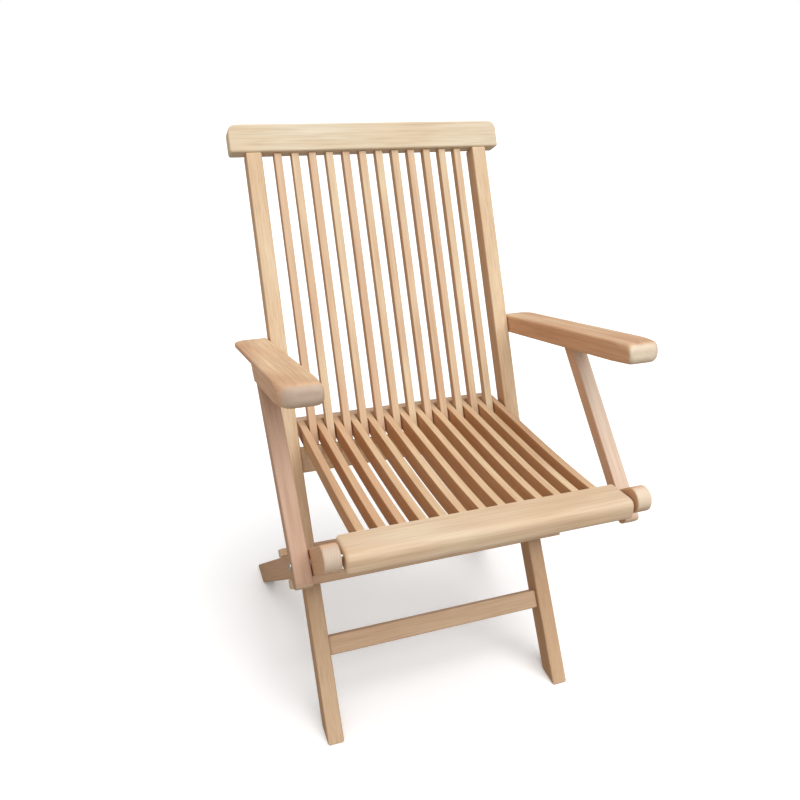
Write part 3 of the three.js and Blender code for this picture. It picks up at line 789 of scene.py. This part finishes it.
rear_points = [
    (seat_line.length + rear_radius * math.cos(angle), rear_radius * math.sin(angle))
    for angle in [math.pi * (step / rear_steps - 0.5) for step in range(rear_steps + 1)]
] + [
    (seat_line.length - rear_front, rear_radius),
    (seat_line.length - rear_front, rear_chamfer - rear_radius),
    (seat_line.length - rear_front + rear_chamfer, -rear_radius),
]
low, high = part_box("seat_rear_rail")
outline = [placed(seat, *point) for point in rear_points]
rear_bar = smoothed(eased(prism("teak_seat_rear_rail", outline, low.x, high.x), slat_arris))
finish = teak("teak of the seat's rear rail", middle("seat_rear_rail"),
              (-seat[2], -quarter_turn, 0), stretcher_colours, rear_rail_pith)
dressed(rear_bar, finish, "seat", "seat_rear_rail")


# Seat slats
# Thirteen strips of teak on edge, sawn to a shallow dish on top. They pass between the back slats
# and stand in mortises in the two seat rails.
slat_depth = 0.026
dish_front_height = 0.0035
dish_rear_height = 0.013
dish_steps = 24
seat_slat_seed = 11
# The fourth colour is painted shade and bounce light for the seat slats' sides.
seat_slat_colours = ("#E3CAA5", "#BA8C5E", "#D2AA87", "#CA8A4A")


def dish(heights):
    """Points along a slat's edge from the front rail to the rear one."""
    front, rear = front_tail + fit, seat_line.length - rear_front - fit
    controls = [Vector((front + (rear - front) * n / 3, z)) for n, z in enumerate(heights)]
    points = []
    for step in range(dish_steps + 1):
        t = step / dish_steps
        shares = ((1 - t) ** 3, 3 * t * (1 - t) ** 2, 3 * t ** 2 * (1 - t), t ** 3)
        points.append(sum((c * s for c, s in zip(controls, shares)), Vector((0, 0))))
    return points


under_middle = (dish_front_height + rear_radius) / 2
top_edge = dish((front_tail_height, dish_front_height, dish_rear_height, rear_radius))
under_edge = dish([height - slat_depth for height in (
    front_tail_height, dish_front_height, under_middle, rear_radius)])
seat_slats = [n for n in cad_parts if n.startswith("seat_slat_")]
low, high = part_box("seat_slat_01")
first, second = middle("seat_slat_01").x, middle("seat_slat_02").x
half = (high.x - low.x) / 2
outline = [placed(seat, *point) for point in top_edge + under_edge[::-1]]
slat = smoothed(eased(prism("slat", outline, -half, half), slat_arris))
finish = teak("teak of the seat slats", middle("seat_slat_01"), (quarter_turn - seat[2], 0, 0),
              seat_slat_colours, slat_pith, slats=True)
row = row_of_boards("teak_seat_slats", slat, len(seat_slats), first, second - first, seat_slat_seed,
                    finish)
dressed(row, finish, "seat", *seat_slats)


# Arms
# Each arm is one thick board of teak, cut away underneath on the outside so that the strut folds up
# beside the web that is left. The front end is rounded every way; the rear turns on the stile's bolt.
arm_slope = math.radians(14.6)
arm_top = 0.0165
arm_under = 0.015
arm_reach = 0.3889
arm_tail = 0.016
arm_nose = 0.012
arm_outer_corner = 0.022
arm_inner_corner = 0.005
arm_arris = 0.004
arm_end_round = 0.0155
arm_end_inner_round = 0.011
arm_end_length = 0.055
arm_slab = 0.009
slab_arris = 0.0035
rebate_arris = 0.0015
edge_height_share = 0.49
notch_lean = math.radians(36.9)
strut_width = 0.024
strut_headroom = 0.0006
strut_pivot_reach = 0.168
arm_stations = 20
arm_corner_steps = 7
# The fourth colour is painted shade and bounce light for the arms' sides; the left arm's grey end tone is
# painted shade on its end, the right's is the end grain's own cream.
arm_colours = ("#EBCDA7", "#AA7650", "#D5A984", "#DDA67C")
arm_end_tones_and_painted_shade = {"left": "#B4A598", "right": end_cream}
arm_piths = {"left": (0.045, 0.055), "right": (-0.030, 0.048)}
arm_figures = {"left": 0.5, "right": 0.75}
arm_rings = 0.007

strut_top = middle("strut_top_washer_right")
arm = (arm_bolt.y, arm_bolt.z, -arm_slope)
ceiling = arm_top - arm_slab
strut_room = strut_width / 2 + strut_headroom
notch_top = strut_pivot_reach + strut_room * (1 - math.sin(notch_lean)) / math.cos(notch_lean)
notch_foot = notch_top + (ceiling + arm_under) * math.tan(notch_lean)
leg_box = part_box("rear_leg_right")
arm_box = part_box("arm_right")


def arm_ring(along):
    """The arm's section at a place along it: a slab with a web under its inner half."""
    from_front, from_rear = along + arm_reach, arm_tail - along
    inner = leg_box[0].x + inset(from_front, arm_inner_corner)
    outer = arm_box[1].x - inset(from_front, arm_outer_corner) - inset(from_rear, arm_outer_corner)
    top = arm_top - inset(from_front, arm_nose) - inset(from_rear, rebate_arris)
    under = inset(from_front, arm_nose) - arm_under + inset(from_rear, arm_under)
    share = min(max((along + notch_foot) / (notch_foot - notch_top), 0), 1)
    step = under + (ceiling - under) * share
    web = min(leg_box[1].x, outer)
    near = max(1 - from_front / arm_end_length, 0)
    growth = near ** 2 * (3 - 2 * near)
    inner_edge, outer_edge = [
        min(arm_arris + (full - arm_arris) * growth, (top - under) * edge_height_share)
        for full in (arm_end_inner_round, arm_end_round)
    ]
    return rounded([
        (inner, under, inner_edge), (inner, top, inner_edge), (outer, top, outer_edge),
        (outer, step, slab_arris + (outer_edge - slab_arris) * (1 - share)),
        (web, step, rebate_arris), (web, under, rebate_arris),
    ], arm_corner_steps)


rounding = [step / arm_stations for step in range(arm_stations + 1)]
stations = sorted(
    [-arm_reach + arm_end_length * share ** 2 for share in rounding]
    + [-notch_foot, -notch_top]
    + [arm_tail - arm_outer_corner * share ** 2 for share in rounding]
)
for label, side in sides.items():
    rings = [[(side * x, *placed(arm, along, z)) for x, z in arm_ring(along)] for along in stations]
    armrest = drilled(loft(f"teak_arm_{label}", rings), [
        (bore_radius, *sorted((side * start, side * end)), centre) for start, end, centre in (
            (leg_box[0].x - overrun, leg_box[1].x + overrun, arm_bolt),
            (leg_box[1].x - thread_depth, leg_box[1].x + overrun, strut_top),
        )
    ])
    smoothed(armrest)
    finish = teak(f"teak of the {label} arm", middle(f"arm_{label}"), (quarter_turn + arm_slope, 0, 0),
                  arm_colours, arm_piths[label], ring_width=arm_rings, figure=arm_figures[label],
                  end_tone=arm_end_tones_and_painted_shade[label])
    dressed(armrest, finish, f"arm_{label}", f"arm_{label}")


# Struts
# A square teak bar props each arm from its leg. Its top is rounded to turn under the arm's slab and
# its foot has rounded corners; a screw with a washer behind it holds each end.
strut_tail = 0.033
strut_corner = 0.009
# The fourth colour of each is painted shade and bounce light for the struts' sides; the left strut is
# coloured darker than the right one.
strut_colours = {
    "left": ("#CBA88F", "#A57A5D", "#BA9781", "#C6966F"),
    "right": ("#E6D2BE", "#C29A7A", "#DDBFA8", "#DDA87C"),
}
strut_piths = {"left": (0.050, 0.030), "right": (-0.055, 0.010)}
strut_figure = 0.35

strut_line = Vector((strut_top.y - strut_foot.y, strut_top.z - strut_foot.z))
strut = (strut_top.y, strut_top.z, -math.atan2(strut_line.x, strut_line.y))
half = strut_width / 2
foot = -strut_line.length - strut_tail
strut_head = [
    (half * math.cos(angle), half * math.sin(angle))
    for angle in [math.pi * step / nose_steps for step in range(nose_steps + 1)]
]
strut_end = rounded([
    (-half, 0, 0), (-half, foot, strut_corner), (half, foot, strut_corner), (half, 0, 0)])[1:-1]
outline = [placed(strut, *point) for point in strut_head + strut_end]
for label in sides:
    low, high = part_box(f"strut_{label}")
    prop = eased(prism(f"teak_strut_{label}", outline, low.x, high.x), rail_arris)
    smoothed(drilled(prop, [
        (bore_radius, low.x - overrun, high.x + overrun, centre) for centre in (strut_top, strut_foot)
    ]))
    finish = teak(f"teak of the {label} strut", (low + high) / 2, (-strut[2], 0, 0), strut_colours[label],
                  strut_piths[label], figure=strut_figure)
    dressed(prop, finish, f"strut_{label}", f"strut_{label}")


# Screws, washers, pins and inserts
# Stainless steel, turned and lightly brushed, with domed slotted heads. The brush marks are drawn
# coarser than they are so that they show. Washers keep the turning boards apart. The seat's pins
# and the legs' threaded inserts are hidden in the wood.
shank_radius = 0.003
head_height = 0.0026
head_lip = 0.0008
head_steps = 8
head_sides = 40
head_middle_share = 0.04
turned_edge_angle = math.radians(30)
slot_width = 0.0014
slot_depth = 0.0011
washer_arris = 0.00012
mark_width, mark_length = 0.0003, 0.006
mark_strength, mark_relief = 0.2, 0.00005
mark_detail = 2.0
bright_roughness, brushed_roughness = 0.24, 0.46
steel_greys = ("#B9B7B2", "#D2D0CB")
fastener_seed = 3

steel = bpy.data.materials.new("stainless steel, turned and brushed")
tree = cleared(steel)
where = add(tree, "ShaderNodeTexCoord")
brush = add(tree, "ShaderNodeMapping", {
    "Vector": where.outputs["Object"], "Scale": (1 / mark_width, 1 / mark_width, 1 / mark_length)})
marks = add(tree, "ShaderNodeTexNoise", {
    "Vector": brush.outputs[0], "Scale": 1.0, "Detail": mark_detail})
rough = add(tree, "ShaderNodeMapRange", {
    0: marks.outputs["Fac"], 3: bright_roughness, 4: brushed_roughness})
tone = blend(tree, marks.outputs["Fac"], *steel_greys)
bump = add(tree, "ShaderNodeBump", {
    "Height": marks.outputs["Fac"], "Strength": mark_strength, "Distance": mark_relief})
shader = add(tree, "ShaderNodeBsdfPrincipled", {
    "Base Color": tone, "Roughness": rough.outputs[0], "Metallic": 1.0, "Normal": bump.outputs[0]})
add(tree, "ShaderNodeOutputMaterial", {"Surface": shader.outputs[0]})


def circle(along, radius):
    """Points round the X axis."""
    angles = [math.tau * number / head_sides for number in range(head_sides)]
    return [(along, radius * math.cos(angle), radius * math.sin(angle)) for angle in angles]


def screw(length, radius):
    """A slotted screw with its head's seat at x = 0 and its shank towards -X."""
    dome = [math.pi / 2 * step / head_steps for step in range(head_steps)]
    profile = [(-length, shank_radius), (fit, shank_radius), (fit, radius)] + [
        (fit + head_lip + (head_height - head_lip) * math.sin(angle), radius * math.cos(angle))
        for angle in dome
    ] + [(fit + head_height, radius * head_middle_share)]
    piece = loft("screw", [circle(*point) for point in profile])
    floor_of_slot, top = fit + head_height - slot_depth, fit + head_height + overrun
    width = slot_width / 2
    corners = [(floor_of_slot, -width), (top, -width), (top, width), (floor_of_slot, width)]
    cut_out(piece, loft("slot", [
        [(x, y, z) for x, y in corners] for z in (-radius - overrun, radius + overrun)]))
    piece.data.set_sharp_from_angle(angle=turned_edge_angle)
    return piece


def washer(half, inner, outer):
    """A flat ring with its middle at x = 0, half its thickness to each side."""
    section = [
        (-half, inner), (-half, outer - washer_arris), (washer_arris - half, outer),
        (half - washer_arris, outer), (half, outer - washer_arris), (half, inner),
    ]
    shape = bmesh.new()
    rings = [[shape.verts.new(place) for place in circle(*point)] for point in section]
    for here, following in zip(rings, rings[1:] + rings[:1]):
        for number in range(head_sides):
            other = (number + 1) % head_sides
            shape.faces.new((here[number], here[other], following[other], following[number]))
    ring = solid("washer", shape)
    ring.data.shade_smooth()
    ring.data.set_sharp_from_angle(angle=turned_edge_angle)
    return ring


def placed_fasteners(name, fastener, places, seed):
    """Copies of a fastener at places (x, y, z, side), facing out to that side, each turned by chance."""
    inputs = {
        "Places": ("NodeSocketGeometry", None), "Fastener": ("NodeSocketObject", fastener),
        "Seed": ("NodeSocketInt", seed), "Finish": ("NodeSocketMaterial", steel),
    }
    tree, given = tree_with(f"places of {name}", inputs)
    outward = add(tree, "GeometryNodeInputNamedAttribute", {"Name": "outward"}, data_type="FLOAT_VECTOR")
    facing = add(tree, "FunctionNodeAlignRotationToVector", {"Vector": outward.outputs[0]}, axis="X")
    chance = add(tree, "FunctionNodeRandomValue", {2: 0.0, 3: math.pi, "Seed": given.outputs["Seed"]},
                 data_type="FLOAT")
    spin = add(tree, "FunctionNodeAxisAngleToRotation", {"Axis": (1, 0, 0), "Angle": chance.outputs[1]})
    both = add(tree, "FunctionNodeRotateRotation", {
        "Rotation": facing.outputs[0], "Rotate By": spin.outputs[0]}, rotation_space="LOCAL")
    pattern = add(tree, "GeometryNodeObjectInfo", {"Object": given.outputs["Fastener"]})
    copies = add(tree, "GeometryNodeInstanceOnPoints", {
        "Points": given.outputs["Places"], "Instance": pattern.outputs["Geometry"],
        "Rotation": both.outputs[0]})
    mesh = bpy.data.meshes.new(name)
    mesh.from_pydata([place[:3] for place in places], [], [])
    outwards = mesh.attributes.new("outward", "FLOAT_VECTOR", "POINT")
    outwards.data.foreach_set("vector", [share for place in places for share in (place[3], 0, 0)])
    copied = grown(mesh_object(name, mesh), tree, given, inputs, copies)
    bpy.data.objects.remove(fastener)
    return copied


def facing_seat(node, side):
    """Where a screw's head sits, and which way it faces, from its CAD node."""
    low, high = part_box(node)
    seat_x = high.x - head_height - fit if side > 0 else low.x + head_height + fit
    return (seat_x, (low.y + high.y) / 2, (low.z + high.z) / 2, side)


def steel_piece(thing, body, *nodes):
    """Gives the piece the steel and puts it on its body, in place of the CAD nodes."""
    thing.data.materials.clear()
    thing.data.materials.append(steel)
    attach(thing, body)
    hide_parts(*nodes)


def by_body(name, member):
    """A kind of fastener as its pieces, one for each body: its name, body and CAD nodes by side."""
    if member == "back_frame":
        return [(f"steel_{name}", member, {label: f"{name}_{label}" for label in sides})]
    return [
        (f"steel_{name}_{label}", f"{member}_{label}", {label: f"{name}_{label}"}) for label in sides]


for name, member, way in (
    ("frame_bolt", "back_frame", -1), ("arm_screw", "arm", 1), ("strut_top_screw", "arm", 1),
    ("strut_foot_screw", "strut", 1),
):
    low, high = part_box(f"{name}_right")
    length = high.x - low.x - head_height - fit
    radius = (high.z - low.z) / 2
    for piece, body, nodes in by_body(name, member):
        places = [facing_seat(node, way * sides[label]) for label, node in nodes.items()]
        screws = placed_fasteners(piece, screw(length, radius), places, fastener_seed)
        steel_piece(screws, body, *nodes.values())

for name, member in (
    ("frame_washer", "back_frame"), ("arm_washer", "arm"), ("strut_top_washer", "arm"),
    ("strut_foot_washer", "strut"),
):
    low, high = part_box(f"{name}_right")
    for piece, body, nodes in by_body(name, member):
        places = [(*middle(node), 1) for node in nodes.values()]
        ring = washer((high.x - low.x) / 2, bore_radius, (high.z - low.z) / 2)
        steel_piece(placed_fasteners(piece, ring, places, fastener_seed), body, *nodes.values())

for label in sides:
    for name in ("seat_pin", "strut_insert"):
        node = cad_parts[f"{name}_{label}"]
        node.data.materials.clear()
        node.data.materials.append(steel)


low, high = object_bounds()
